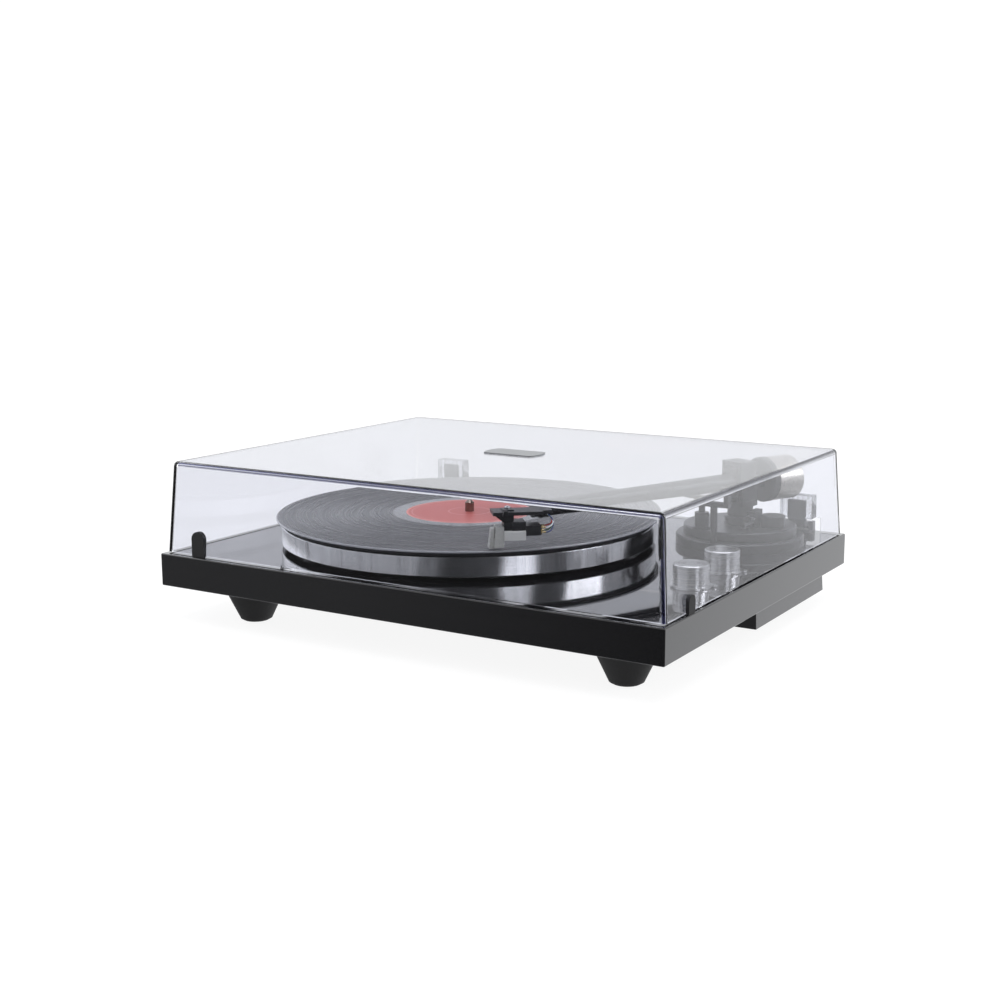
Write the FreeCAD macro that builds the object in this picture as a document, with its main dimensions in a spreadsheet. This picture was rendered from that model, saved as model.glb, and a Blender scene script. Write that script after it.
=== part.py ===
import FreeCAD, Part

import os
import re

# Belt-drive turntable with a hinged clear dust cover, as a parametric FreeCAD document.
#
# Lengths are in millimetres. The origin is on the surface the turntable stands on, below the centre of
# the plinth. +X is to the right of a user at the front, +Y is to the back and +Z is up.
# Every driving size is a cell of the sheet "Sizes", and each piece is bound to those cells.

OUT = "parts"

SIZES = {
    # plinth, its cavity and what it stands on
    "plinth_width": 424, "plinth_depth": 336, "plinth_height": 25, "plinth_round": 1,
    "deck_thick": 10, "wall_thick": 12, "plate_thick": 3,
    "foot_height": 25, "foot_radius": 22, "foot_sole": 9.5,
    "left_foot_x": -147, "right_foot_x": 169.5, "front_foot_y": -135.5, "rear_foot_y": 145,
    "box_left": 149, "box_right": 211, "box_front": -16.4, "box_back": 121, "box_height": 12, "box_wall": 1.6,
    # platter, record and bearing
    "disc_x": -38, "disc_y": -4, "platter_radius": 147.5, "platter_gap": 3.2, "platter_height": 15.3,
    "platter_plate": 6, "rim_width": 9.5, "mat_radius": 146, "mat_thick": 2.9,
    "record_radius": 150.8, "record_thick": 1.5, "label_radius": 50, "label_thick": 0.25,
    "spindle_radius": 3.6, "spindle_height": 9, "hole_gap": 0.05, "shaft_radius": 5, "housing_radius": 9,
    "flange_radius": 16,
    # belt drive
    "ring_radius": 75, "ring_width": 4, "pulley_radius": 8, "pulley_reach": 108, "pulley_angle": 138,
    "belt_gap": 0.3, "belt_thick": 0.8, "belt_height": 4.5, "motor_radius": 17,
    # tonearm
    "arm_x": 149, "arm_y": 94, "arm_rise": 46.5, "arm_angle": 245.9, "stylus_reach": 230.1,
    "head_turn": -26.2,    "tube_start": 10, "tube_length": 183, "tube_rear": 6.75, "tube_front": 4.75,
    "base_radius": 50, "base_thick": 8, "tier_radius": 44, "tier_thick": 7.5, "collar_radius": 12,
    "pillar_radius": 10, "cheek_inner": 7, "cheek_outer": 10.6, "yoke_length": 16, "yaw_radius": 4,
    "pivot_radius": 2, "weight_radius": 16.3, "weight_start": 28, "weight_length": 26, "dial_length": 6.7,
    "stub_radius": 5,
    # controls
    "knob_x": 178.2, "front_knob_y": -60, "rear_knob_y": -7, "knob_radius": 12.7, "knob_height": 16.5,
    "skirt_radius": 14.5, "skirt_height": 1.5, "pointer_turn": 20,
    # dust cover
    "cover_half": 209.8, "cover_front": -163.1, "cover_back": 164.15, "cover_gap": 1, "cover_height": 68.9,
    "cover_wall": 2.5, "cover_draft": 4.6, "cover_draft_back": 2.75, "cover_round": 3.6,
    "cover_inner_round": 2.2,
    "badge_x": -4, "badge_y": 8, "badge_width": 48, "badge_depth": 24, "badge_thick": 0.9,
    "left_hinge_x": -161, "right_hinge_x": 174, "post_half": 7.5, "hinge_y": 163.5, "hinge_rise": 5,
    "knuckle_radius": 3.4, "notch_width": 34, "notch_height": 11,
}

doc = FreeCAD.newDocument("Turntable")
sheet = doc.addObject("Spreadsheet::Sheet", "Sizes")
for row, (alias, number) in enumerate(SIZES.items(), start=1):
    sheet.set(f"A{row}", alias)
    sheet.set(f"B{row}", str(number))
    sheet.setAlias(f"B{row}", alias)
doc.recompute()

# heights that several pieces share
FLOOR = "foot_height"
TOP = "(foot_height + plinth_height)"
DECK = f"({TOP} - deck_thick)"
PLATE = "(foot_height + plate_thick)"
RIM = f"({TOP} + platter_gap)"
PLATTER_TOP = f"({RIM} + platter_height)"
PLATTER_UNDER = f"({PLATTER_TOP} - platter_plate)"
MAT_TOP = f"({PLATTER_TOP} + mat_thick)"
RECORD_TOP = f"({MAT_TOP} + record_thick)"
BASE_TOP = f"({TOP} + base_thick)"
TIER_TOP = f"({BASE_TOP} + tier_thick)"
ARM_Z = f"({TOP} + arm_rise)"
COVER_FOOT = f"({TOP} + cover_gap)"
COVER_TOP = f"({COVER_FOOT} + cover_height)"
HINGE_Z = f"({TOP} + hinge_rise)"

# frames that pieces are built in: where their origin is and how far they are turned about +Z
DISC = ("disc_x", "disc_y", "0")
ARM = ("arm_x", "arm_y", "arm_angle")
PARK = ("arm_x", "arm_y", "arm_angle + 22")
HEAD = ("arm_x + stylus_reach * cos(arm_angle)", "arm_y + stylus_reach * sin(arm_angle)",
        "arm_angle + head_turn")
BELT = ("disc_x", "disc_y", "pulley_angle")

UP = FreeCAD.Rotation()
ALONG_X = FreeCAD.Rotation(FreeCAD.Vector(0, 1, 0), 90)
ALONG_Y = FreeCAD.Rotation(FreeCAD.Vector(1, 0, 0), -90)
DRAFT = ("cover_draft", "cover_draft", "cover_draft", "cover_draft_back")
pieces = []


def bound(formula):
    """A formula with each size name in it written as a reference to the sheet."""
    return re.sub(r"[a-z_]+", lambda name: "Sizes." + name[0] if name[0] in SIZES else name[0], str(formula))


def drive(thing, cells):
    """Ties fields of a document object to formulas over the sheet."""
    for field, formula in cells.items():
        thing.setExpression(field, bound(formula))
    return thing


def put(thing, x, y, z, lie=UP):
    """Lays an object along an axis and ties its position to formulas."""
    thing.Placement = FreeCAD.Placement(FreeCAD.Vector(0, 0, 0), lie)
    return drive(thing, {"Placement.Base.x": x, "Placement.Base.y": y, "Placement.Base.z": z})


def block(x0, x1, y0, y1, z0, z1, kind="Part::Box"):
    """A box between two formulas on each axis."""
    thing = doc.addObject(kind, "block")
    drive(thing, {"Length": f"({x1}) - ({x0})", "Width": f"({y1}) - ({y0})", "Height": f"({z1}) - ({z0})"})
    return put(thing, x0, y0, z0)


def drum(radius, x, y, z, length, lie=UP, kind="Part::Cylinder"):
    """A cylinder that starts at a point and runs up, or along X or Y."""
    thing = doc.addObject(kind, "drum")
    return put(drive(thing, {"Radius": radius, "Height": length}), x, y, z, lie)


def taper(first, last, x, y, z, length, lie=UP):
    """A cone from one radius to another."""
    thing = doc.addObject("Part::Cone", "taper")
    return put(drive(thing, {"Radius1": first, "Radius2": last, "Height": length}), x, y, z, lie)


def slope(x0, x1, y0, y1, z0, z1, left="0", right="0", front="0", back="0"):
    """A block whose four sides each lean in by a formula towards its top."""
    thing = doc.addObject("Part::Wedge", "slope")
    drive(thing, {
        "Xmin": x0, "Xmax": x1, "Ymin": 0, "Ymax": f"({z1}) - ({z0})", "Zmin": f"-({y1})", "Zmax": f"-({y0})",
        "X2min": f"({x0}) + {left}", "X2max": f"({x1}) - ({right})",
        "Z2min": f"-({y1}) + ({back})", "Z2max": f"-({y0}) - ({front})",
    })
    return put(thing, "0", "0", z0, FreeCAD.Rotation(FreeCAD.Vector(1, 0, 0), 90))


def turn_to(thing, frame):
    """Moves a joined piece from the origin into its frame."""
    x, y, angle = frame
    thing.Placement = FreeCAD.Placement(FreeCAD.Vector(0, 0, 0), FreeCAD.Rotation(FreeCAD.Vector(0, 0, 1), 1))
    return drive(thing, {"Placement.Base.x": x, "Placement.Base.y": y, "Placement.Rotation.Angle": angle})


def join(*things, frame=None):
    """One solid out of several that meet."""
    thing = doc.addObject("Part::MultiFuse", "join")
    thing.Shapes = list(things)
    thing.Refine = True
    return turn_to(thing, frame) if frame else thing


def carve(base, *tools, frame=None):
    """A solid with other solids taken out of it."""
    thing = doc.addObject("Part::Cut", "carve")
    thing.Base = base
    thing.Tool = join(*tools) if len(tools) > 1 else tools[0]
    thing.Refine = True
    return turn_to(thing, frame) if frame else thing


def overlap(first, second):
    """What two solids share."""
    thing = doc.addObject("Part::Common", "overlap")
    thing.Base = first
    thing.Tool = second
    return thing


def piece(label, thing):
    """Names a finished piece, which is exported under that name."""
    thing.Label = label
    pieces.append(thing)
    return thing


def feature(body, name, kind, cells):
    """Adds a feature to a body with its fields tied to the sheet."""
    feature = body.newObject(kind, name)
    return drive(feature, cells)


def plinth():
    """The board that carries everything, hollow from below and with its edges softened."""
    body = doc.addObject("PartDesign::Body", "plinth")
    slab = feature(body, "slab", "PartDesign::AdditiveBox", {
        "Length": "plinth_width", "Width": "plinth_depth", "Height": "plinth_height"})
    put(slab, "-plinth_width / 2", "-plinth_depth / 2", FLOOR)
    doc.recompute()
    soft = feature(body, "soft_edges", "PartDesign::Fillet", {"Radius": "plinth_round"})
    soft.Base = (slab, [f"Edge{n}" for n in range(1, 13)])
    body.Tip = soft
    doc.recompute()

    def pocket(name, x0, x1, y0, y1, z0, z1):
        cell = feature(body, name, "PartDesign::SubtractiveBox", {
            "Length": f"({x1}) - ({x0})", "Width": f"({y1}) - ({y0})", "Height": f"({z1}) - ({z0})"})
        put(cell, x0, y0, z0)
        body.Tip = cell
        doc.recompute()

    def bore(name, radius, x, y, z, length):
        hole = feature(body, name, "PartDesign::SubtractiveCylinder", {"Radius": radius, "Height": length})
        put(hole, x, y, z)
        body.Tip = hole
        doc.recompute()

    half = "plinth_width / 2 - wall_thick"
    deep = "plinth_depth / 2 - wall_thick"
    pocket("cavity", f"-({half})", half, f"-({deep})", deep, f"{FLOOR} - 1", DECK)
    bore("bearing_hole", "housing_radius", "disc_x", "disc_y", DECK + " - 1", "deck_thick + 2")
    bore("motor_hole", "7", "disc_x + pulley_reach * cos(pulley_angle)",
         "disc_y + pulley_reach * sin(pulley_angle)", DECK + " - 1", "deck_thick + 2")
    for name, y in (("front_switch_hole", "front_knob_y"), ("rear_switch_hole", "rear_knob_y")):
        bore(name, "5", "knob_x", y, DECK + " - 1", "deck_thick + 2")
    pocket("jack_window", "60", "124", f"{deep} - 1", "plinth_depth / 2 + 1",
           f"{FLOOR} + 5", f"{FLOOR} + 21")
    pocket("inlet_window", "-120", "-96", f"{deep} - 1", "plinth_depth / 2 + 1",
           f"{FLOOR} + 6", f"{FLOOR} + 20")
    return body


def stands():
    """The plate that closes the plinth, the four feet and the electronics housing with its board."""
    half = "plinth_width / 2 - wall_thick"
    deep = "plinth_depth / 2 - wall_thick"
    plate = block(f"-({half})", half, f"-({deep})", deep, FLOOR, PLATE)
    piece("base_plate", carve(plate, block("165", "195", "20", "80", FLOOR + " - 1", PLATE + " + 1")))
    for side, x in (("left", "left_foot_x"), ("right", "right_foot_x")):
        for end, y in (("front", "front_foot_y"), ("rear", "rear_foot_y")):
            foot = join(
                taper("foot_sole", "foot_sole + 2.4", x, y, "0", "1.4"),
                taper("foot_sole + 2.4", "foot_radius - 0.8", x, y, "1.4", "foot_height - 5.4"),
                taper("foot_radius - 0.8", "foot_radius", x, y, "foot_height - 4", "1"),
                drum("foot_radius", x, y, "foot_height - 3", "3"))
            piece(f"foot_{end}_{side}", foot)
    low = f"{FLOOR} - box_height"
    shell = slope("box_left", "box_right", "box_front", "box_back", low, FLOOR, "0.6", "0.6", "0.6", "0.6")
    room = block("box_left + box_wall", "box_right - box_wall", "box_front + box_wall", "box_back - box_wall",
                 f"{low} + box_wall", f"{FLOOR} + 1")
    piece("electronics_box", carve(shell, room))
    board = block("box_left + 5", "box_right - 5", "box_front + 5", "box_back - 5",
                  f"{low} + 4", f"{low} + 5.6")
    posts = [drum("2.5", f"box_left + {9 if left else 53}", f"box_front + {9 if near else 128}",
                  f"{low} + box_wall", "3") for left in (True, False) for near in (True, False)]
    chips = [block(f"box_left + {15 + 16 * n}", f"box_left + {25 + 16 * n}", "40", "58",
                   f"{low} + 5.4", f"{low} + 8") for n in range(3)]
    piece("circuit_board", join(board, *posts, *chips))


def controls():
    """The two rotary switches in the plinth and the knobs on their shafts."""
    for name, y in (("front", "front_knob_y"), ("rear", "rear_knob_y")):
        body = join(drum("11", "knob_x", y, PLATE + " + 1", f"{DECK} - {PLATE} - 1"),
                    drum("4.9", "knob_x", y, DECK + " - 1", "deck_thick + 1"))
        hole = drum("3 + hole_gap", "knob_x", y, PLATE + " + 4", "plinth_height")
        piece(f"rotary_switch_{name}", carve(body, hole))
        edge = f"{TOP} + knob_height"
        lift = f"{TOP} + 0.2"
        tail = "skirt_radius + 3.4"
        frame = ("knob_x", y, "pointer_turn")
        knob = join(
            drum("3", "0", "0", PLATE + " + 5", "plinth_height - 5"),
            drum("skirt_radius", "0", "0", lift, "skirt_height"),
            drum("2.6", f"{tail} - 2.6", "0", lift, "skirt_height"),
            slope("0", f"{tail} - 2.6", "-2.6", "2.6", lift, f"{lift} + skirt_height"),
            drum("knob_radius", "0", "0", lift, f"knob_height - 0.8"),
            taper("knob_radius", "knob_radius - 0.6", "0", "0", f"{edge} - 0.6", "0.6"),
            frame=frame)
        piece(f"knob_{name}", knob)


def platter():
    """The platter with what turns on it, the bearing it runs in, and the belt drive under it."""
    at = ("disc_x", "disc_y")
    under = f"{PLATTER_UNDER} - {RIM}"
    rim = join(
        taper("platter_radius - 0.8", "platter_radius", "0", "0", RIM, "0.8"),
        drum("platter_radius", "0", "0", f"{RIM} + 0.8", "platter_height - 1.6"),
        taper("platter_radius", "platter_radius - 0.8", "0", "0", f"{PLATTER_TOP} - 0.8", "0.8"))
    hollow = drum("platter_radius - rim_width", "0", "0", RIM + " - 1", f"{under} + 1")
    ring = carve(drum("ring_radius", "0", "0", RIM, f"{under} + 0.5"),
                 drum("ring_radius - ring_width", "0", "0", RIM + " - 1", f"{under} + 3"))
    hub = drum("14", "0", "0", RIM, f"{under} + 0.5")
    spokes = [drum("shaft_radius", "0", "0", RIM + " - 2", "platter_height + 4")]
    solid = join(carve(rim, hollow), ring, hub)
    piece("platter", carve(solid, *spokes, frame=DISC))
    tip = f"{RECORD_TOP} + spindle_height"
    shaft = join(
        drum("shaft_radius", "0", "0", PLATE + " + 4", f"{PLATTER_TOP} - {PLATE} - 4"),
        drum("spindle_radius", "0", "0", PLATTER_TOP + " - 1", f"{tip} - {PLATTER_TOP} - 1"),
        taper("spindle_radius", "spindle_radius - 2", "0", "0", f"{tip} - 2", "2"), frame=DISC)
    piece("spindle", shaft)
    hole = "spindle_radius + hole_gap"
    piece("slip_mat", carve(drum("mat_radius", "0", "0", PLATTER_TOP, "mat_thick"),
                            drum(hole, "0", "0", PLATTER_TOP + " - 1", "mat_thick + 2"), frame=DISC))
    disc = join(
        taper("record_radius - 0.5", "record_radius", "0", "0", MAT_TOP, "0.5"),
        drum("record_radius", "0", "0", f"{MAT_TOP} + 0.5", "record_thick - 1"),
        taper("record_radius", "record_radius - 0.5", "0", "0", f"{RECORD_TOP} - 0.5", "0.5"))
    recess = drum("label_radius", "0", "0", f"{RECORD_TOP} - label_thick", "2")
    piece("record", carve(disc, recess, drum(hole, "0", "0", MAT_TOP + " - 1", "5"), frame=DISC))
    piece("record_label", carve(drum("label_radius", "0", "0", f"{RECORD_TOP} - label_thick", "label_thick"),
                                drum(hole, "0", "0", MAT_TOP + " - 1", "5"), frame=DISC))
    housing = join(drum("housing_radius", "0", "0", PLATE, f"{TOP} - {PLATE}"),
                   drum("flange_radius", "0", "0", TOP, "2"))
    bore = drum("shaft_radius + hole_gap", "0", "0", PLATE + " + 3.9", "plinth_height")
    piece("bearing_housing", carve(housing, bore, frame=DISC))

    far = "pulley_reach"
    boss = f"{TOP} + 1.5"
    can = join(drum("motor_radius", far, "0", PLATE, f"{DECK} - {PLATE}"),
               drum("6.9", far, "0", DECK + " - 1", f"{boss} - {DECK} + 1"))
    piece("motor", carve(can, drum("1.5 + hole_gap", far, "0", PLATE + " + 3", "plinth_height"), frame=BELT))
    low = f"{TOP} + 4.6"
    pulley = join(drum("1.5", far, "0", PLATE + " + 3.2", f"{low} - {PLATE} - 3"),
                  drum("pulley_radius + 1.2", far, "0", f"{TOP} + 2.6", "1"),
                  drum("pulley_radius", far, "0", f"{TOP} + 3.4", "belt_height + 2.6"),
                  drum("pulley_radius + 1.2", far, "0", f"{TOP} + 5.8 + belt_height", "1"), frame=BELT)
    piece("motor_pulley", pulley)

    def loop(grow, drop):
        """The filled outline of the belt, which is two discs and the trapezium between their tangents."""
        big = f"(ring_radius + belt_gap + {grow})"
        small = f"(pulley_radius + belt_gap + {grow})"
        lean = f"acos(({big} - {small}) / {far})"
        tall = f"belt_height + 2 * {drop}"
        base = f"{TOP} + 4.6 - {drop}"
        web = doc.addObject("Part::Wedge", "web")
        drive(web, {
            "Xmin": f"-{big} * sin({lean})", "Xmax": f"{big} * sin({lean})",
            "X2min": f"-{small} * sin({lean})", "X2max": f"{small} * sin({lean})",
            "Ymin": f"{big} * cos({lean})", "Ymax": f"{far} + {small} * cos({lean})",
            "Zmin": "0", "Zmax": tall, "Z2min": "0", "Z2max": tall,
        })
        put(web, "0", "0", base, FreeCAD.Rotation(FreeCAD.Vector(0, 0, 1), -90))
        return join(drum(big, "0", "0", base, tall), drum(small, far, "0", base, tall), web)

    piece("belt", carve(loop("belt_thick", "0"), loop("0", "1"), frame=BELT))


def sockets():
    """The sockets at the back, which sit inside windows in the rear wall."""
    deep = "plinth_depth / 2 - wall_thick"
    back = f"{deep} + 2"
    panel = block("60", "124", deep, back, f"{FLOOR} + 5", f"{FLOOR} + 21")
    piece("jack_panel", panel)
    for name, x in (("left", "72"), ("right", "90")):
        jack = join(drum("5.5", x, back, f"{FLOOR} + 13", "1.5", ALONG_Y),
                    drum("4.2", x, back, f"{FLOOR} + 13", "4.8", ALONG_Y))
        piece(f"jack_{name}", carve(jack, drum("1.7", x, f"{back} + 2", f"{FLOOR} + 13", "10", ALONG_Y)))
    piece("ground_post", join(drum("4.5", "110", back, f"{FLOOR} + 13", "1", ALONG_Y),
                              drum("2", "110", back, f"{FLOOR} + 13", "3", ALONG_Y),
                              drum("4", "110", f"{back} + 2", f"{FLOOR} + 13", "2.8", ALONG_Y)))
    inlet = block("-120", "-96", deep, f"{deep} + 9", f"{FLOOR} + 6", f"{FLOOR} + 20")
    piece("power_inlet", carve(inlet, drum("4.2", "-108", f"{deep} + 3", f"{FLOOR} + 13", "9", ALONG_Y)))


def arm_stand():
    """What the tonearm stands on, its rest and its cueing lift."""
    base = join(drum("base_radius", "0", "0", TOP, "base_thick - 1"),
                taper("base_radius", "base_radius - 1", "0", "0", f"{BASE_TOP} - 1", "1"), frame=ARM)
    piece("arm_base", base)
    tier = join(drum("tier_radius", "0", "0", BASE_TOP, "tier_thick - 1"),
                taper("tier_radius", "tier_radius - 1", "0", "0", f"{TIER_TOP} - 1", "1"))
    hole = put(doc.addObject("Part::Cylinder", "skate_hole"), "28", "-2", BASE_TOP + " + 2")
    drive(hole, {"Radius": "2 + hole_gap", "Height": "tier_thick"})
    piece("arm_tier", carve(tier, hole, frame=("arm_x", "arm_y", "0")))
    rise = f"{TIER_TOP} + 14.5"
    pillar = join(drum("collar_radius", "0", "0", TIER_TOP, "6"),
                  drum("pillar_radius", "0", "0", TIER_TOP, f"{rise} - {TIER_TOP}"))
    socket = drum("yaw_radius + hole_gap", "0", "0", f"{TIER_TOP} + 2", "20")
    piece("arm_pillar", carve(pillar, socket, frame=ARM))

    cup = f"{ARM_Z} - tube_rear"
    stem = join(drum("2.7", "47.1", "0", BASE_TOP, f"{cup} - 4 - {BASE_TOP}"),
                block("43.5", "49.5", "-8", "12.5", f"{cup} - 4", f"{cup} - 0.6"),
                block("43.5", "49.5", "9.5", "12.5", f"{cup} - 4", f"{cup} + 9"),
                block("43.5", "49.5", "6.9", "12.5", f"{cup} + 6.6", f"{cup} + 9"), frame=PARK)
    piece("arm_rest", stem)

    reach = "40"
    post = join(drum("5.5", reach, "0", TIER_TOP, "13"), drum("7", reach, "0", TIER_TOP, "2"))
    piece("lift_post", carve(post, drum("2.5 + hole_gap", reach, "0", f"{TIER_TOP} + 1", "20"), frame=ARM))
    bar = f"{cup} - 0.4"
    lift = join(drum("2.5", reach, "0", f"{TIER_TOP} + 3", f"{bar} - 2 - {TIER_TOP} - 3"),
                block("38", "42", "-17", "9", f"{bar} - 3.4", bar), frame=ARM)
    piece("cue_lift", lift)

    pivot = f"{TIER_TOP} + 6"
    case = join(block("161.3", "166.9", "80", "96", TIER_TOP, f"{TIER_TOP} + 12.5"),
                block("161.3", "166.9", "71", "81", TIER_TOP, f"{TIER_TOP} + 10"))
    slot = drum("1.5 + hole_gap", "160", "75", pivot, "12", ALONG_X)
    piece("cue_housing", carve(case, slot))
    lever = join(drum("1.5", "161.8", "75", pivot, "8", ALONG_X),
                 drum("3.2", "167.2", "75", pivot, "3", ALONG_X),
                 drum("1.3", "168.7", "58", pivot, "17", ALONG_Y),
                 drum("2.1", "168.7", "53", pivot, "6", ALONG_Y))
    piece("cue_lever", lever)
    dial = join(drum("9.7", "0", "0", f"{TIER_TOP} + 0.2", "8.3"),
                taper("9.7", "9.1", "0", "0", f"{TIER_TOP} + 8.5", "0.6"),
                drum("2", "0", "0", BASE_TOP + " + 3", "tier_thick"), frame=("arm_x + 28", "arm_y - 2", "0"))
    piece("anti_skate_knob", dial)


def block_in_head(*sides):
    """A block with softly cut upper edges, placed in the head's frame."""
    x0, x1, y0, y1, z0, z1 = sides
    return join(block(x0, x1, y0, y1, z0, f"{z1} - 1"),
                slope(x0, x1, y0, y1, f"{z1} - 1", z1, "0", "0", "0.8", "0.8"), frame=HEAD)


def tonearm():
    """The yoke, the arm that tips in it, its balance weight and the head with its cartridge."""
    rise = f"{TIER_TOP} + 14.5"
    foot = f"{rise} + 0.3"
    crown = f"{ARM_Z} + 16"
    ends = ("-yoke_length / 2", "yoke_length / 2")
    yoke = join(
        drum("yaw_radius", "0", "0", f"{TIER_TOP} + 2.3", f"{rise} - {TIER_TOP} - 2"),
        drum("12.5", "0", "0", foot, "4"),
        block(*ends, "-cheek_outer", "cheek_outer", foot, f"{foot} + 3"),
        block(*ends, "-cheek_outer", "-cheek_inner", foot, crown),
        block(*ends, "cheek_inner", "cheek_outer", foot, crown),
        block(*ends, "-cheek_outer", "cheek_outer", f"{crown} - 3.6", crown))
    holes = drum("pivot_radius + hole_gap", "0", "-cheek_outer - 1", ARM_Z, "2 * cheek_outer + 2", ALONG_Y)
    piece("arm_yoke", carve(yoke, holes, frame=ARM))

    piece("arm_block", join(
        block("-tube_start", "tube_start", "-cheek_inner + 0.5", "cheek_inner - 0.5",
              f"{ARM_Z} - 9.5", f"{ARM_Z} + 10"),
        drum("pivot_radius", "0", "-cheek_outer + 0.5", ARM_Z, "2 * cheek_outer - 1", ALONG_Y), frame=ARM))
    piece("arm_tube", tube())
    far = "weight_start + weight_length"
    piece("rear_stub", join(
        drum("stub_radius", f"3 - ({far})", "0", ARM_Z, f"{far} - 3 - tube_start", ALONG_X),
        drum("7", "-tube_start - 3", "0", ARM_Z, "3", ALONG_X), frame=ARM))
    bore = drum("stub_radius + hole_gap", f"-1 - ({far})", "0", ARM_Z, "60", ALONG_X)
    weight = join(
        drum("weight_radius", f"1 - ({far})", "0", ARM_Z, "weight_length - 1", ALONG_X),
        taper("weight_radius - 1", "weight_radius", f"-({far})", "0", ARM_Z, "1", ALONG_X))
    piece("counterweight", carve(weight, bore, frame=ARM))
    dial = join(
        drum("weight_radius + 0.3", "-weight_start + 0.3", "0", ARM_Z, "dial_length - 1.3", ALONG_X),
        taper("weight_radius + 0.3", "weight_radius - 0.7", "dial_length - 1 - weight_start", "0", ARM_Z,
              "1", ALONG_X))
    core = drum("stub_radius + hole_gap", "-weight_start - 1", "0", ARM_Z, "20", ALONG_X)
    piece("force_dial", carve(dial, core, frame=ARM))
    head()


def tube():
    """The tapered tube with the collar that takes the head."""
    end = "tube_start + tube_length"
    return join(
        taper("tube_rear", "tube_front", "tube_start", "0", ARM_Z, "tube_length", ALONG_X),
        drum("tube_front", f"{end} - 1", "0", ARM_Z, "5", ALONG_X),
        drum("tube_front + 0.9", f"{end} - 9", "0", ARM_Z, "7", ALONG_X), frame=ARM)


def head():
    """The head, in a frame whose origin is below the stylus and whose +X points the way the head does."""
    shell = f"{TOP} + 48"
    under = f"{TOP} + 43"
    plate = block("-34", "1", "-9", "9", shell, f"{shell} + 2.4")
    neck = block("-41", "-28", "-17", "5", shell, f"{shell} + 2.4")
    rib = block("-14", "-6", "-5", "5", f"{shell} + 1", f"{shell} + 3.4")
    nose = slope("-13.5", "-6.4", "-6", "6", under, f"{shell} + 0.4",
                 right="-6.6", front="-2.4", back="-2.4")
    piece("headshell", carve(join(plate, neck, rib, nose, frame=HEAD), tube()))
    piece("shell_screw", join(
        drum("2.2", "-10", "0", f"{shell} + 3.4", "1.4"),
        drum("1.4", "-10", "0", f"{shell} + 3.4", "2"), frame=HEAD))
    piece("finger_lift", join(
        block("-9", "-5", "9", "14", f"{shell} + 0.4", f"{shell} + 1.8"),
        slope("-9", "-5", "13", "15", f"{shell} + 0.4", f"{shell} + 4.6", "0.8", "0.8", "0.6", "-0.6"),
        frame=HEAD))
    piece("cartridge_mount", join(
        block("-13.5", "-6.8", "-6", "6", f"{TOP} + 37", under),
        block("-22", "-12.4", "-7", "7", f"{TOP} + 37", under),
        block("-32.6", "-22", "-6.6", "6.6", f"{TOP} + 33", f"{TOP} + 40"), frame=HEAD))
    piece("cartridge_body", block_in_head("-22", "-6.8", "-7.5", "7.5", f"{TOP} + 30", f"{TOP} + 37"))
    piece("stylus_guard", join(
        slope("-6.8", "0.4", "-7", "7", f"{TOP} + 25.4", f"{TOP} + 39.6", "0", "1.6", "0.4", "0.4"),
        slope("0", "3.5", "-4.6", "4.6", f"{TOP} + 24.2", f"{TOP} + 38.4", "-0.4", "1.8", "0.3", "0.3"),
        frame=HEAD))
    pins = [drum("0.6", "-36.5", side, f"{TOP} + {rise}", "3.9", ALONG_X)
            for side in ("-3.6", "3.6") for rise in ("34.8", "38.2")]
    carrier = block("-33.4", "-32.6", "-5.6", "5.6", f"{TOP} + 33.4", f"{TOP} + 39.6")
    piece("cartridge_pins", join(carrier, *pins, frame=HEAD))


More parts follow.
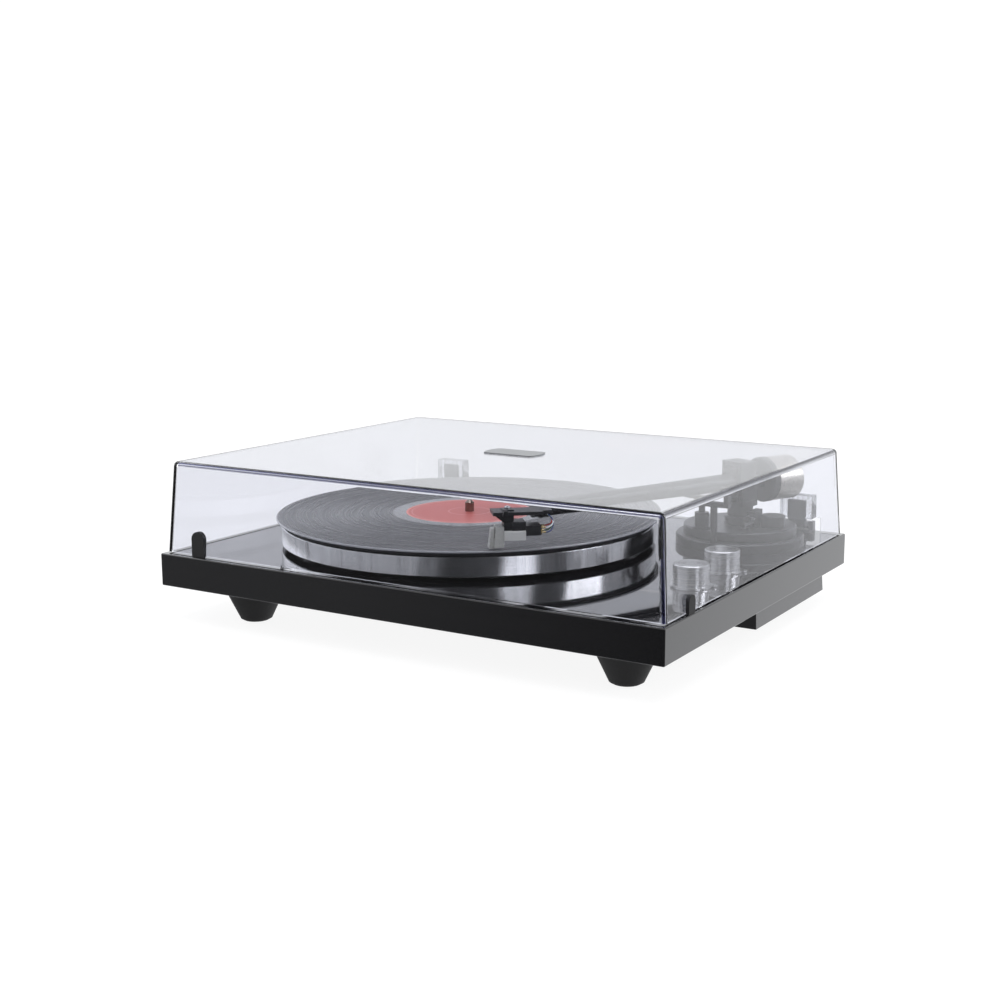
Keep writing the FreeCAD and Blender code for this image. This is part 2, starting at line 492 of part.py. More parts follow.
def cover():
    """The dust cover with its badge, bumpers and hinge receivers."""
    outside = ("-cover_half", "cover_half", "cover_front", "cover_back", COVER_FOOT, COVER_TOP)
    body = doc.addObject("PartDesign::Body", "dust_cover")
    shell = feature(body, "outside", "PartDesign::AdditiveWedge", {
        "Xmin": "-cover_half", "Xmax": "cover_half", "Ymin": "0", "Ymax": "cover_height",
        "Zmin": "-cover_back", "Zmax": "-cover_front",
        "X2min": "-cover_half + cover_draft", "X2max": "cover_half - cover_draft",
        "Z2min": "-cover_back + cover_draft_back", "Z2max": "-cover_front - cover_draft"})
    put(shell, "0", "0", COVER_FOOT, FreeCAD.Rotation(FreeCAD.Vector(1, 0, 0), 90))
    body.Tip = shell
    doc.recompute()
    upper = [f"Edge{n}" for n, edge in enumerate(shell.Shape.Edges, start=1) if edge.BoundBox.ZMax > 60]
    soft = feature(body, "soft_edges", "PartDesign::Fillet", {"Radius": "cover_round"})
    soft.Base = (shell, upper)
    body.Tip = soft
    doc.recompute()
    inner = feature(body, "hollow", "PartDesign::SubtractiveWedge", {
        "Xmin": "-cover_half + cover_wall", "Xmax": "cover_half - cover_wall",
        "Ymin": "0", "Ymax": "cover_height - cover_wall + 1",
        "Zmin": "-cover_back + cover_wall", "Zmax": "-cover_front - cover_wall",
        "X2min": "-cover_half + cover_wall + cover_draft", "X2max": "cover_half - cover_wall - cover_draft",
        "Z2min": "-cover_back + cover_wall + cover_draft_back",
        "Z2max": "-cover_front - cover_wall - cover_draft"})
    put(inner, "0", "0", COVER_FOOT + " - 1", FreeCAD.Rotation(FreeCAD.Vector(1, 0, 0), 90))
    body.Tip = inner
    doc.recompute()
    ceiling = inner.Shape.BoundBox.ZMax - sheet.cover_wall
    corners = [f"Edge{n}" for n, edge in enumerate(inner.Shape.Edges, start=1)
               if abs(edge.BoundBox.ZMax - ceiling) < 0.02]
    inside = feature(body, "soft_corners", "PartDesign::Fillet", {"Radius": "cover_inner_round"})
    inside.Base = (inner, corners)
    body.Tip = inside
    doc.recompute()
    for side in ("left", "right"):
        notch = feature(body, "hinge_notch", "PartDesign::SubtractiveBox", {
            "Length": "notch_width", "Width": "20", "Height": "notch_height + 2"})
        put(notch, f"{side}_hinge_x - notch_width / 2", "cover_back - 12", f"{COVER_FOOT} - 2")
        body.Tip = notch
        doc.recompute()
    piece("dust_cover", body)

    plate = overlap(
        block("-badge_width / 2", "badge_width / 2", "-badge_depth / 2", "badge_depth / 2", COVER_TOP,
              f"{COVER_TOP} + badge_thick"),
        drum("badge_width / 2", "0", "0", COVER_TOP, "badge_thick"))
    piece("badge_plate", turn_to(plate, ("badge_x", "badge_y", "0")))

    wall = slope(*outside, *DRAFT)
    post = block("-182", "-170", "cover_front - 2.4", "cover_front + 3", f"{TOP} + 0.1", f"{TOP} + 13.5")
    front = join(post, drum("6", "-176", "cover_front - 2.4", f"{TOP} + 13.5", "5.4", ALONG_Y))
    low = block("-182", "-170", "cover_front - 1", "cover_front + 3", f"{TOP} - 1", f"{TOP} + 1")
    piece("front_bumper", carve(front, wall, low))
    edge = join(block("cover_half - 3", "cover_half + 2.1", "-132.5", "-123", f"{TOP} + 0.1", f"{TOP} + 8"),
                drum("4.75", "cover_half - 3", "-127.75", f"{TOP} + 8", "5.1", ALONG_X))
    wall = slope(*outside, *DRAFT)
    low = block("cover_half - 4", "cover_half + 1", "-134", "-121", f"{TOP} - 1", f"{TOP} + 1")
    piece("side_bumper", carve(edge, wall, low))
    hinge("left", "left_hinge_x")
    hinge("right", "right_hinge_x")


def hinge(side, x):
    """One hinge: a base with its pin on the plinth, a tongue on the pin and the clear socket it fills."""
    ears = [block(f"{x} + {a}", f"{x} + {b}", "hinge_y - 3.2", "hinge_y + 3.2", TOP, f"{HINGE_Z} + 3.2")
            for a, b in (("-post_half - 3.4", "-post_half - 0.3"), ("post_half + 0.3", "post_half + 3.4"))]
    foot = block(f"{x} - post_half - 3.4", f"{x} + post_half + 3.4", "hinge_y - 9", "hinge_y + 4.3",
                 TOP, f"{TOP} + 1.2")
    pin = drum("1.5", f"{x} - post_half - 3", "hinge_y", HINGE_Z, "2 * post_half + 6", ALONG_X)
    piece(f"hinge_base_{side}", join(foot, *ears, pin))
    sides = (f"{x} - post_half", f"{x} + post_half")
    arm = join(drum("knuckle_radius", f"{x} - post_half", "hinge_y", HINGE_Z, "2 * post_half", ALONG_X),
               block(*sides, "hinge_y - 11.5", "hinge_y", HINGE_Z, f"{HINGE_Z} + 3.2"),
               block(*sides, "hinge_y - 11.5", "hinge_y - 7.5", HINGE_Z, f"{HINGE_Z} + 22"))
    eye = drum("1.5 + hole_gap", f"{x} - post_half - 1", "hinge_y", HINGE_Z, "2 * post_half + 2", ALONG_X)
    piece(f"hinge_tongue_{side}", carve(arm, eye))
    room = slope("-cover_half + cover_wall", "cover_half - cover_wall", "cover_front + cover_wall",
                 "cover_back - cover_wall", COVER_FOOT + " - 1", COVER_TOP + " - cover_wall", *DRAFT)
    case = block(f"{x} - 13.5", f"{x} + 13.5", "hinge_y - 14", "hinge_y", f"{HINGE_Z} + 7", f"{HINGE_Z} + 26")
    slot = block(*sides, "hinge_y - 11.5", "hinge_y - 7.5", f"{HINGE_Z} + 6", f"{HINGE_Z} + 22")
    piece(f"hinge_receiver_{side}", carve(overlap(case, room), slot))


piece("plinth", plinth())
stands()
controls()
platter()
sockets()
arm_stand()
tonearm()
cover()
doc.recompute()

os.makedirs(OUT, exist_ok=True)
for thing in doc.Objects:
    if "Invalid" in thing.State or "Error" in thing.State:
        raise RuntimeError(f"{thing.Name} did not rebuild: {thing.State}")
for thing in pieces:
    shape = thing.Shape
    if shape.isNull() or not shape.isValid() or len(shape.Solids) != 1:
        raise RuntimeError(f"{thing.Label} is not one sound solid")
    shape.exportStep(f"{OUT}/{thing.Label}.step")
    box = shape.BoundBox
    print(f"{thing.Label:24s} {box.XMin:8.2f} {box.XMax:8.2f} {box.YMin:8.2f} {box.YMax:8.2f} "
          f"{box.ZMin:7.2f} {box.ZMax:7.2f} {shape.Volume:10.1f}")
print(len(pieces), "pieces")
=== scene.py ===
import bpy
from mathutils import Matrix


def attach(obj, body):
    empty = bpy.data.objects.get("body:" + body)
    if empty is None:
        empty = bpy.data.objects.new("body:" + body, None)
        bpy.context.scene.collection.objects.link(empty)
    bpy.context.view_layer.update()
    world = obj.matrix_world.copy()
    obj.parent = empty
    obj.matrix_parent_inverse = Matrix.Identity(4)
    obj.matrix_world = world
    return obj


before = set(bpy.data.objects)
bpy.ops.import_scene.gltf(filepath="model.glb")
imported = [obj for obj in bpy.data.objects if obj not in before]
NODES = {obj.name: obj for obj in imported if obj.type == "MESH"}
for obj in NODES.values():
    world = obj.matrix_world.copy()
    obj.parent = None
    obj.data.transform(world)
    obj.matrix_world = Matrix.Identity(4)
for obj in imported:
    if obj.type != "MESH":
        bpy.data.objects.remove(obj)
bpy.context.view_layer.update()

import math

import bmesh
import bpy
from mathutils import Vector

DISC = Vector((-0.038, -0.004, 0.0))  # upright axis of the platter and record
PIVOT = Vector((0.149, 0.094, 0.0))  # upright axis of the tonearm
KNOBS = {"knob_front": Vector((0.1782, -0.060, 0)), "knob_rear": Vector((0.1782, -0.007, 0))}
ARM_LENGTH = 0.2301  # from the pivot to the stylus
ARM_ANGLE = math.radians(245.9)
HEAD_ANGLE = math.radians(245.9 - 26.2)
STYLUS = PIVOT + ARM_LENGTH * Vector((math.cos(ARM_ANGLE), math.sin(ARM_ANGLE), 0.0))
RING_DEPTH = 0.00002  # of a ring that a lathe tool leaves, at a relief of 1
ACROSS = 0.25  # a quarter turn of anisotropy, so that gloss is drawn out across the rings


# ---------------------------------------------------------------- node helpers
class Nodes:
    """A short way to write a shader's node tree."""

    def __init__(self, name):
        self.material = bpy.data.materials.new(name)
        self.material.use_nodes = True
        self.tree = self.material.node_tree
        self.tree.nodes.clear()
        self.out = self.add("ShaderNodeOutputMaterial")
        self.shader = self.add("ShaderNodeBsdfPrincipled")
        self.link(self.shader.outputs[0], self.out.inputs["Surface"])

    def add(self, kind, **fields):
        node = self.tree.nodes.new(kind)
        for field, value in fields.items():
            setattr(node, field, value)
        return node

    def link(self, source, target):
        self.tree.links.new(source, target)

    def feed(self, node, values):
        """Sets sockets to numbers or links them to other sockets."""
        for key, value in values.items():
            socket = node.inputs[key]
            if isinstance(value, bpy.types.NodeSocket):
                self.link(value, socket)
            else:
                socket.default_value = value
        return node

    def math(self, operation, *values, clamp=False):
        node = self.add("ShaderNodeMath", operation=operation, use_clamp=clamp)
        self.feed(node, dict(enumerate(values)))
        return node.outputs[0]

    def place(self, scale=(1, 1, 1), shift=(0, 0, 0)):
        """Object coordinates in metres, moved and stretched."""
        coordinate = self.add("ShaderNodeTexCoord")
        mapping = self.add("ShaderNodeMapping")
        self.feed(mapping, {"Vector": coordinate.outputs["Object"], "Location": shift, "Scale": scale})
        return mapping.outputs[0]

    def split(self, vector):
        node = self.add("ShaderNodeSeparateXYZ")
        self.link(vector, node.inputs[0])
        return node.outputs

    def join(self, x, y, z):
        node = self.add("ShaderNodeCombineXYZ")
        self.feed(node, {0: x, 1: y, 2: z})
        return node.outputs[0]

    def noise(self, vector, scale, detail=3.0, rough=0.5):
        node = self.add("ShaderNodeTexNoise")
        self.feed(node, {"Vector": vector, "Scale": scale, "Detail": detail, "Roughness": rough})
        return node.outputs["Fac"]

    def span(self, value, low, high, to_low, to_high, smooth=False):
        node = self.add("ShaderNodeMapRange", interpolation_type="SMOOTHSTEP" if smooth else "LINEAR")
        self.feed(node, {0: value, 1: low, 2: high, 3: to_low, 4: to_high})
        return node.outputs[0]

    def mix(self, factor, first, second):
        node = self.add("ShaderNodeMix", data_type="RGBA")
        self.feed(node, {0: factor})
        for socket, value in ((node.inputs[6], first), (node.inputs[7], second)):
            if isinstance(value, bpy.types.NodeSocket):
                self.link(value, socket)
            else:
                socket.default_value = (*value, 1.0)
        return node.outputs[2]

    def bump(self, height, strength, distance):
        node = self.add("ShaderNodeBump")
        self.feed(node, {"Height": height, "Strength": strength, "Distance": distance})
        self.link(node.outputs[0], self.shader.inputs["Normal"])

    def set(self, **values):
        self.feed(self.shader, {key.replace("_", " "): value for key, value in values.items()})

    def lathe_tangent(self):
        """Lets the gloss follow circles about the upright axis."""
        tangent = self.add("ShaderNodeTangent", direction_type="RADIAL", axis="Z")
        self.link(tangent.outputs[0], self.shader.inputs["Tangent"])

    def rings(self, radius, places):
        """A mask of thin rings: each has a radius, a half width of full strength and one where it ends."""
        mask = None
        for place, full, end in places:
            off = self.math("ABSOLUTE", self.math("SUBTRACT", radius, place))
            ring = self.span(off, full, end, 1.0, 0.0)
            mask = ring if mask is None else self.math("MAXIMUM", mask, ring)
        return mask

    def radius_from(self, centre):
        """How far a point is from an upright axis, and its angle about it."""
        x, y, _ = self.split(self.place(shift=(-centre.x, -centre.y, 0)))
        square = self.math("ADD", self.math("MULTIPLY", x, x), self.math("MULTIPLY", y, y))
        return self.math("SQRT", square), self.math("ARCTAN2", y, x)


def moulded(name, colour, rough, grain=900.0, depth=0.00004, tone=0.25, spread=0.06, **extra):
    """Plastic, rubber or paint: a fine skin, soft changes of tone and a patchy gloss."""
    n = Nodes(name)
    at = n.place()
    cloud = n.noise(at, 22.0, 4.0)
    fine = n.noise(at, grain, 2.0)
    dark = tuple(c * (1 - tone) for c in colour)
    light = tuple(min(1.0, c * (1 + tone)) for c in colour)
    gloss = n.span(fine, 0.3, 0.7, rough - spread, rough + spread)
    n.set(Base_Color=n.mix(cloud, dark, light), Roughness=gloss)
    n.set(**extra)
    n.bump(fine, 0.35, depth)
    return n.material


def turned(name, colour, rough, centre, lines=5200.0, anisotropy=0.6, relief=0.12, crown=0.0):
    """Metal off a lathe: fine rings about its axis and gloss drawn out across them.

    The crown is a slope in the shading alone. It tilts upright sides up, by its arctangent.
    """
    n = Nodes(name)
    radius, angle = n.radius_from(centre)
    height = n.split(n.place())[2]
    rings = n.noise(n.join(radius, height, 0.0), lines, 2.0)
    # Painted reflection: darker upright streaks by angle round the axis, mixed into the colour together
    # with the real ring tone of the lathe marks
    painted_reflection_streak = n.span(n.noise(n.join(angle, 0.0, 0.0), 17.0, 6.0, 0.75), 0.38, 0.62, 0.0, 1.0)
    ring_tone_and_painted_streaks = n.math("MULTIPLY", n.span(rings, 0.2, 0.8, 0.4, 1.0), painted_reflection_streak)
    dark = tuple(c * 0.68 for c in colour)
    n.set(Base_Color=n.mix(ring_tone_and_painted_streaks, colour, dark), Metallic=1.0,
          Anisotropic=anisotropy, Anisotropic_Rotation=ACROSS,
          Roughness=n.span(rings, 0.2, 0.8, rough - 0.04, rough + 0.04))
    n.lathe_tangent()
    marks = n.math("MULTIPLY", rings, relief * RING_DEPTH)
    n.bump(n.math("SUBTRACT", marks, n.math("MULTIPLY", height, crown)), 1.0, 1.0)
    return n.material


def lacquer():
    """Piano-black lacquer: a deep body under a clear coat with the faintest ripple and dust."""
    n = Nodes("plinth_lacquer")
    at = n.place()
    ripple = n.noise(at, 34.0, 2.0)
    dust = n.span(n.noise(at, 1500.0, 1.0), 0.70, 0.80, 0.0, 1.0)
    n.set(Base_Color=n.mix(dust, (0.008, 0.008, 0.009), (0.03, 0.03, 0.032)),
          Roughness=n.span(ripple, 0.3, 0.7, 0.035, 0.06), IOR=1.52, Coat_Weight=1.0, Coat_Roughness=0.03)
    n.bump(ripple, 0.05, 0.0001)
    return n.material


# radii on the record, in metres
TRACK_GAPS = (0.0715, 0.0850, 0.0975, 0.1085, 0.1205, 0.1335)
RUNOUT, LEAD_IN, BEAD = 0.0598, 0.1465, 0.1497
LABEL_RINGS = ((0.0165, 0.0006), (0.0455, 0.0005))
LABEL_RIM = 0.0480
RIB_PITCH = 0.0016


def vinyl():
    """A pressed record: grooves in tracks, smooth bands between them, and a plain run-out."""
    n = Nodes("record_vinyl")
    radius, angle = n.radius_from(DISC)
    groove = n.noise(n.join(radius, 0.0, 0.0), 1500.0, 1.0, 0.5)
    broad = n.noise(n.join(radius, 0.0, 0.0), 380.0, 2.0, 0.6)
    gaps = n.rings(radius, [(place, 0.0004, 0.0009) for place in TRACK_GAPS])
    runout = n.span(radius, RUNOUT, RUNOUT + 0.0008, 1.0, 0.0)
    leadin = n.span(radius, LEAD_IN, LEAD_IN + 0.0006, 0.0, 1.0)
    plain = n.math("MAXIMUM", gaps, n.math("MAXIMUM", runout, leadin))
    cut = n.math("SUBTRACT", 1.0, plain)
    body = n.mix(n.span(broad, 0.36, 0.64, 0.0, 1.0), (0.008, 0.008, 0.009), (0.052, 0.052, 0.057))
    smooth = n.math("MAXIMUM", runout, n.math("MULTIPLY", plain, 0.25))
    # Painted highlight: the record's outer bead and edge are painted light grey
    bead_highlight = n.span(radius, BEAD, BEAD + 0.0004, 0.0, 1.0)
    pressed = n.mix(smooth, body, (0.040, 0.041, 0.046))
    n.set(Base_Color=n.mix(bead_highlight, pressed, (0.34, 0.34, 0.35)), IOR=1.75,
          Anisotropic=0.85, Anisotropic_Rotation=ACROSS,
          Roughness=n.span(smooth, 0.0, 1.0, n.span(broad, 0.38, 0.62, 0.20, 0.40), 0.16),
          Coat_Weight=n.math("MULTIPLY", runout, 0.6), Coat_Roughness=0.12)
    n.lathe_tangent()
    n.bump(n.math("MULTIPLY", groove, cut), 0.35, 0.00005)
    return n.material


def label():
    """A plain paper label with a paler rim and two printed rings."""
    n = Nodes("label_paper")
    radius, _ = n.radius_from(DISC)
    fibre = n.noise(n.place(), 1400.0, 5.0, 0.7)
    tone = n.mix(fibre, (0.42, 0.09, 0.08), (0.54, 0.15, 0.13))
    rings = n.rings(radius, [(place, wide * 0.4, wide) for place, wide in LABEL_RINGS])
    printed = n.mix(n.math("MULTIPLY", rings, 0.7), tone, (0.72, 0.38, 0.34))
    rim = n.span(radius, LABEL_RIM, LABEL_RIM + 0.0006, 0.0, 1.0)
    n.set(Base_Color=n.mix(rim, printed, (0.68, 0.28, 0.24)), Roughness=0.42)
    n.bump(fibre, 0.25, 0.00004)
    return n.material


def ribbed_mat():
    """Rubber with concentric ribs."""
    n = Nodes("mat_rubber")
    radius, _ = n.radius_from(DISC)
    rib = n.math("SINE", n.math("MULTIPLY", radius, 2 * math.pi / RIB_PITCH))
    fine = n.noise(n.place(), 900.0, 2.0)
    n.set(Base_Color=n.mix(fine, (0.012, 0.012, 0.013), (0.026, 0.026, 0.028)),
          Roughness=n.span(fine, 0.3, 0.7, 0.5, 0.7))
    n.bump(rib, 0.4, 0.0002)
    return n.material


COVER_MIDDLE_Z = 0.07


def acrylic(name, tint, edge_shade_tint, inner_highlight_tint):
    """Clear acrylic. A tint on the rounded edges stands in for light that has run along the sheet.

    An edge is where the true normal isn't close to an axis of the piece, and its inner side faces
    the piece's middle. Shadow and diffuse rays pass the sheet as if it were a plain filter.
    """
    n = Nodes(name)
    geometry = n.add("ShaderNodeNewGeometry")
    turn = n.add("ShaderNodeVectorTransform", vector_type="NORMAL",
                 convert_from="WORLD", convert_to="OBJECT")
    n.link(geometry.outputs["True Normal"], turn.inputs[0])
    normal = turn.outputs[0]
    x, y, z = (n.math("ABSOLUTE", axis) for axis in n.split(normal))
    most = n.math("MAXIMUM", x, n.math("MAXIMUM", y, z))
    edge = n.span(most, 0.82, 0.91, 1.0, 0.0)
    # Painted shade: the rounded edges are coloured dark, navy where the normal leans to front or back, and
    # a lighter but still dark grey on the other edges
    pale = tuple(0.12 + 0.4 * c for c in edge_shade_tint)
    edge_shade_colour = n.mix(n.span(y, 0.10, 0.25, 0.0, 1.0), pale, edge_shade_tint)
    away = n.add("ShaderNodeVectorMath", operation="DOT_PRODUCT")
    n.link(normal, away.inputs[0])
    n.link(n.place(shift=(0, 0, -COVER_MIDDLE_Z)), away.inputs[1])
    inner = n.math("LESS_THAN", away.outputs["Value"], 0.0)
    haze = n.noise(n.place(), 9.0, 3.0)
    scuff = n.span(n.noise(n.place((1, 1, 0.2)), 240.0, 4.0, 0.75), 0.58, 0.82, 0.0, 1.0)
    body = n.mix(haze, tint, tuple(c * 0.985 for c in tint))
    # The inner side of each edge takes its own colour, clear on the cover, as a painted highlight line
    colour = n.mix(edge, body, n.mix(inner, edge_shade_colour, inner_highlight_tint))
    n.set(Base_Color=colour, Transmission_Weight=1.0, IOR=1.45, Roughness=n.math("MULTIPLY", scuff, 0.015))
    clear = n.add("ShaderNodeBsdfTransparent")
    n.link(body, clear.inputs[0])
    path = n.add("ShaderNodeLightPath")
    soft = n.math("MAXIMUM", path.outputs["Is Shadow Ray"], path.outputs["Is Diffuse Ray"])
    pick = n.add("ShaderNodeMixShader")
    n.feed(pick, {0: soft, 1: n.shader.outputs[0], 2: clear.outputs[0]})
    n.link(pick.outputs[0], n.out.inputs["Surface"])
    return n.material


def board():
    """A circuit board with its copper tracks under green lacquer."""
    n = Nodes("circuit_board")
    brick = n.add("ShaderNodeTexBrick")
    n.feed(brick, {"Vector": n.place(), "Scale": 160.0, "Mortar Size": 0.012,
                   "Color1": (0.015, 0.11, 0.05, 1), "Color2": (0.02, 0.15, 0.06, 1),
                   "Mortar": (0.10, 0.30, 0.10, 1)})
    gloss = n.span(n.noise(n.place(), 300.0), 0.3, 0.7, 0.25, 0.4)
    n.set(Base_Color=brick.outputs["Color"], Roughness=gloss)
    return n.material


ALUMINIUM = (0.62, 0.62, 0.63)
black = moulded("arm_black", (0.018, 0.018, 0.020), 0.34, 1300.0, 0.00002)
rubber = moulded("foot_rubber", (0.018, 0.018, 0.019), 0.62, 1100.0, 0.00006)
dark_plastic = moulded("base_black", (0.028, 0.028, 0.030), 0.5)
LOOKS = {
    "plinth": lacquer(),
    "electronics_box": moulded("housing_grey", (0.030, 0.030, 0.032), 0.20, 500.0, 0.00002,
                               Coat_Weight=0.9),
    "circuit_board": board(),
    "belt": moulded("belt_rubber", (0.016, 0.016, 0.016), 0.5, 1500.0),
    "motor": moulded("motor_steel", (0.55, 0.56, 0.58), 0.32, 700.0, 0.00001, 0.08, Metallic=1.0),
    "platter": turned("platter_aluminium", ALUMINIUM, 0.16, DISC, 2600.0, 0.85, 0.01, 0.16),
    "spindle": turned("spindle_metal", (0.30, 0.24, 0.21), 0.16, DISC),
    "bearing_housing": turned("bearing_brass", (0.70, 0.50, 0.22), 0.25, DISC),
    "slip_mat": ribbed_mat(),
    "record": vinyl(),
    "record_label": label(),
    "arm_tube": moulded("tube_black", (0.016, 0.016, 0.018), 0.24, 1600.0, 0.00001),
    "counterweight": moulded("weight_metal", (0.66, 0.63, 0.58), 0.30, 900.0, 0.00001, 0.06, Metallic=0.85),
    "force_dial": moulded("dial_black", (0.020, 0.020, 0.021), 0.42),
    "cartridge_body": moulded("cartridge_grey", (0.60, 0.60, 0.56), 0.38, 700.0, 0.00002, 0.08),
    "stylus_guard": moulded("guard_grey", (0.46, 0.46, 0.42), 0.30, 700.0, 0.00002, 0.10),
    "dust_cover": acrylic("clear_acrylic", (0.908, 0.915, 0.952), (0.012, 0.013, 0.052), (1.0, 1.0, 1.0)),
    "badge_plate": moulded("badge_grey", (0.34, 0.35, 0.36), 0.35, 800.0, 0.00001, 0.06, Metallic=0.7),
}
for name in ("shell_screw", "ground_post"):
    LOOKS[name] = moulded("chrome_" + name, (0.78, 0.78, 0.80), 0.12, 900.0, 0.00001, 0.05, Metallic=1.0)
for name in ("jack_left", "jack_right", "cartridge_pins", "motor_pulley"):
    LOOKS[name] = moulded("brass_" + name, (0.72, 0.56, 0.28), 0.22, 900.0, 0.00001, 0.06, Metallic=1.0)
for name, centre in KNOBS.items():
    LOOKS[name] = turned("aluminium_" + name, ALUMINIUM, 0.27, centre, 9000.0, 0.6, 0.003, 0.10)
receiver = acrylic("clear_socket", (0.90, 0.91, 0.94), (0.35, 0.36, 0.42), (0.9, 0.9, 0.95))
hinge_grey = moulded("hinge_grey", (0.085, 0.085, 0.092), 0.38)
for name in NODES:
    if name.startswith("foot_") or name.endswith("_bumper"):
        LOOKS[name] = rubber
    elif name.startswith("hinge_receiver"):
        LOOKS[name] = receiver
    elif name.startswith("hinge_"):
        LOOKS[name] = hinge_grey
    elif name in ("base_plate", "rotary_switch_front", "rotary_switch_rear", "jack_panel", "power_inlet"):
        LOOKS[name] = dark_plastic

# pieces that keep the edges that they have in the CAD
SHARP = {"dust_cover", "record", "record_label", "slip_mat", "belt", "circuit_board", "plinth"}
for name, thing in NODES.items():
    thing.data.materials.clear()
    thing.data.materials.append(LOOKS.get(name, black))
    weld = thing.modifiers.new("weld", "WELD")
    weld.merge_threshold = 0.000002
    if name not in SHARP:
        bevel = thing.modifiers.new("soft_edges", "BEVEL")
        bevel.width = 0.0003
        bevel.segments = 2
        bevel.limit_method = "ANGLE"
        bevel.angle_limit = math.radians(35)
        even = thing.modifiers.new("even_normals", "WEIGHTED_NORMAL")
        even.weight = 90


# ---------------------------------------------------------------- the leads at the back of the cartridge
def head_point(ahead, left, z):
    """A point in the head's own directions, from above the stylus."""
    forward = Vector((math.cos(HEAD_ANGLE), math.sin(HEAD_ANGLE), 0))
    side = Vector((-forward.y, forward.x, 0))
    return STYLUS + forward * ahead + side * left + Vector((0, 0, z))


def wire(name, points, radius, material, body):
    """A round wire along a smooth path."""
    curve = bpy.data.curves.new(name, "CURVE")
    curve.dimensions = "3D"
    curve.bevel_depth = radius
    curve.bevel_resolution = 4
    curve.resolution_u = 10
    path = curve.splines.new("BEZIER")
    path.bezier_points.add(len(points) - 1)
    for knot, point in zip(path.bezier_points, points):
        knot.co = point
        knot.handle_left_type = knot.handle_right_type = "AUTO"
    thing = bpy.data.objects.new(name, curve)
    bpy.context.collection.objects.link(thing)
    curve.materials.append(material)
    curve.use_fill_caps = True
    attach(thing, body)
    return thing


LEAD_RADIUS = 0.00045
# each lead's colour, and where its pin is in millimetres: left of the head's middle, and height
LEADS = (("red", (0.45, 0.02, 0.02), -3.6, 88.2), ("white", (0.80, 0.80, 0.78), 3.6, 88.2),
         ("green", (0.02, 0.10, 0.05), -3.6, 84.8), ("blue", (0.03, 0.05, 0.16), 3.6, 84.8))
for step, (name, colour, left, z) in enumerate(LEADS):
    material = moulded("lead_" + name, colour, 0.4, 900.0)
    spread = left * 0.45 - 4.0
    route = ((-35.0, left, z), (-38.5, left, z + 0.2), (-41.5, left * 0.8 - 1.5, z + 1.6 + step * 0.3),
             (-42.0, spread, 92.0 + step * 0.2), (-39.0, spread - 2.0, 96.2))
    points = [head_point(*(v / 1000 for v in point)) for point in route]
    wire("head_lead_" + name, points, LEAD_RADIUS, material, "arm")


# ---------------------------------------------------------------- light, floor and camera
def floor_white():
    """A pale floor that glows and is missing from mirror images."""
    n = Nodes("pale_floor")
    n.set(Base_Color=n.mix(n.noise(n.place(), 3.0), (0.13, 0.13, 0.132), (0.15, 0.15, 0.152)),
          Roughness=0.9, Emission_Color=(1, 1, 1, 1), Emission_Strength=0.90)
    path = n.add("ShaderNodeLightPath")
    gone = n.add("ShaderNodeBsdfTransparent")
    pick = n.add("ShaderNodeMixShader")
    mirrored = n.math("GREATER_THAN", path.outputs["Glossy Depth"], 0.5)
    n.feed(pick, {0: mirrored, 1: n.shader.outputs[0], 2: gone.outputs[0]})
    n.link(pick.outputs[0], n.out.inputs["Surface"])
    return n.material


def backdrop_white():
    """Even white light."""
    n = Nodes("backdrop_white")
    glow = n.add("ShaderNodeEmission")
    n.feed(glow, {"Color": (1.0, 1.0, 1.0, 1.0), "Strength": 1.05})
    n.link(glow.outputs[0], n.out.inputs["Surface"])
    return n.material


def staged(name, build, material):
    """A piece of the studio, whose mesh is filled by a function."""
    mesh = bpy.data.meshes.new(name)
    work = bmesh.new()
    build(work)
    work.to_mesh(mesh)
    work.free()
    thing = bpy.data.objects.new(name, mesh)
    mesh.materials.append(material)
    bpy.context.collection.objects.link(thing)
    thing.visible_glossy = False
    return thing


FLOOR_RADIUS, ROOM_RADIUS = 14.0, 14.5
FLOOR_Z = -0.0005  # just under the feet


def flat_disc(work):
    bmesh.ops.create_circle(work, cap_ends=True, segments=96, radius=FLOOR_RADIUS)
    bmesh.ops.translate(work, verts=work.verts, vec=(0, 0, FLOOR_Z))


def ball(work):
    bmesh.ops.create_uvsphere(work, u_segments=48, v_segments=24, radius=ROOM_RADIUS)


floor = staged("floor", flat_disc, floor_white())

backdrop = staged("backdrop", ball, backdrop_white())
backdrop.visible_diffuse = False
backdrop.visible_transmission = False
backdrop.visible_shadow = False

world = bpy.data.worlds.new("studio")
bpy.context.scene.world = world
world.use_nodes = True
tree = world.node_tree
tree.nodes.clear()


def world_node(kind, **fields):
    node = tree.nodes.new(kind)
    for field, value in fields.items():
        setattr(node, field, value)
    return node


# the room that polished parts mirror: bright behind and to the sides, and dark in front
where = world_node("ShaderNodeTexCoord")
axes = world_node("ShaderNodeSeparateXYZ")
tree.links.new(where.outputs["Generated"], axes.inputs[0])


def world_feed(node, values):
    for socket, value in zip(node.inputs, values):
        if isinstance(value, bpy.types.NodeSocket):
            tree.links.new(value, socket)
        else:
            socket.default_value = value
    return node.outputs[0]


def world_math(operation, first, second):
    return world_feed(world_node("ShaderNodeMath", operation=operation), (first, second))


TOP_LEVEL = 2.0  # a colour ramp holds 0 to 1, so levels are halved and doubled again


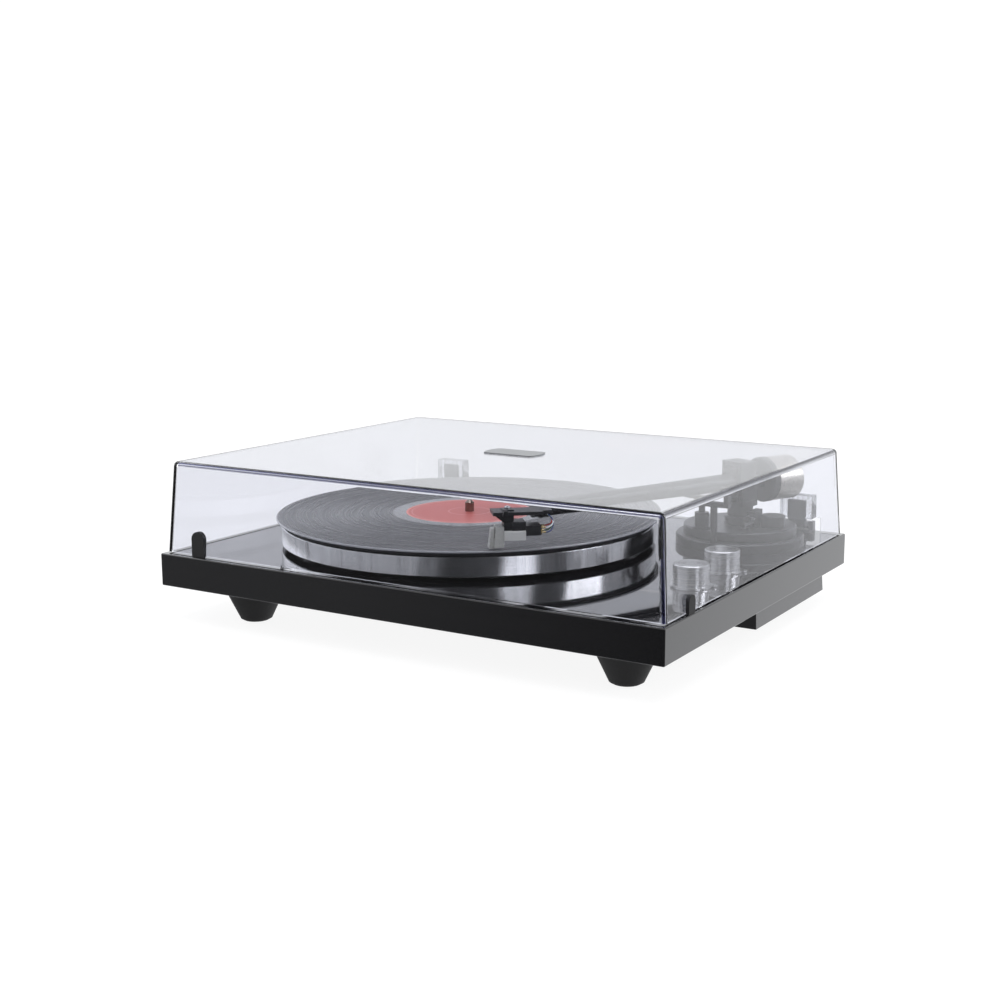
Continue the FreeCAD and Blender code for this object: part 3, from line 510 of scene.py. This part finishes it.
def around(stops):
    """Brightness by compass direction: pairs of a bearing from -180 to 180 degrees and a level up to 2."""
    bearing = world_math("ARCTAN2", axes.outputs["Y"], axes.outputs["X"])
    turn = world_math("ADD", world_math("DIVIDE", bearing, 2 * math.pi), 0.5)
    node = world_node("ShaderNodeValToRGB")
    tree.links.new(turn, node.inputs[0])
    ramp = node.color_ramp
    while len(ramp.elements) < len(stops):
        ramp.elements.new(0.5)
    for element, (degrees, _) in zip(ramp.elements, stops):
        element.position = degrees / 360 + 0.5
    for element, (_, level) in zip(ramp.elements, stops):
        element.color = (level / TOP_LEVEL, level / TOP_LEVEL, level / TOP_LEVEL, 1)
    return world_math("MULTIPLY", node.outputs[0], TOP_LEVEL)


# what the polished parts mirror: low down, just below level, and above level
LOW = ((-180, 0.28), (-144, 0.18), (-128, 0.16), (-114, 0.03), (-38, 0.06), (2, 0.08), (20, 0.20),
       (44, 0.40), (54, 0.80), (74, 0.80), (108, 0.70), (144, 0.5), (180, 0.28))
LEVEL = ((-180, 0.55), (-137, 0.12), (-108, 0.05), (-29, 0.05), (0, 0.25), (44, 0.95), (72, 1.0),
         (108, 0.85), (150, 0.80), (180, 0.55))
ABOVE = ((-180, 1.9), (-160, 1.1), (-118, 0.72), (-104, 0.70), (-88, 0.60), (-86, 0.30), (-77, 0.22),
         (-70, 0.03), (-40, 0.02), (-34, 2.0), (-20, 2.0), (-16, 0.12), (1, 0.08), (14, 0.7), (17, 0.35),
         (22, 0.45), (26, 0.8), (60, 0.6), (100, 0.9), (118, 0.90), (142, 1.0), (152, 2.0), (180, 1.9))


def fade(start, end, first, second):
    """One level below the height start and another above end, as the sine of the elevation."""
    node = world_node("ShaderNodeMapRange", interpolation_type="SMOOTHSTEP")
    return world_feed(node, (axes.outputs["Z"], start, end, first, second))


near = fade(-0.17, -0.13, around(LOW), around(LEVEL))
room = fade(-0.04, 0.02, near, around(ABOVE))
ramp = fade(0.62, 0.85, room, 0.5)
sky = world_node("ShaderNodeBackground")
tree.links.new(ramp, sky.inputs["Strength"])
sky.inputs["Color"].default_value = (0.97, 0.98, 1.0, 1)
end = world_node("ShaderNodeOutputWorld")
tree.links.new(sky.outputs[0], end.inputs[0])


def softbox(name, place, aim, size, power):
    data = bpy.data.lights.new(name, "AREA")
    data.shape = "RECTANGLE"
    data.size, data.size_y = size
    data.energy = power
    thing = bpy.data.objects.new(name, data)
    bpy.context.collection.objects.link(thing)
    thing.location = place
    thing.rotation_euler = (Vector(aim) - Vector(place)).to_track_quat("-Z", "Y").to_euler()
    return thing


softbox("over", (0.1, 0.2, 2.2), (0, 0, 0), (2.4, 2.0), 38).visible_glossy = False
softbox("side", (1.6, 0.5, 0.9), (0, 0, 0.06), (0.8, 0.8), 8)

LOOK_DOWN, LOOK_TURN = 10.14, 30.54  # degrees below level, and round from the front
camera = bpy.data.cameras.new("camera")
camera.sensor_width = 36
camera.lens = 52.47
camera.shift_x = -0.0395
camera.shift_y = -0.0055
camera.clip_end = 60
view = bpy.data.objects.new("camera", camera)
bpy.context.collection.objects.link(view)
view.location = (0.58634, -0.95423, 0.28893)
view.rotation_euler = (math.radians(90 - LOOK_DOWN), 0, math.radians(LOOK_TURN))
bpy.context.scene.camera = view
bpy.context.scene.view_settings.view_transform = "Standard"
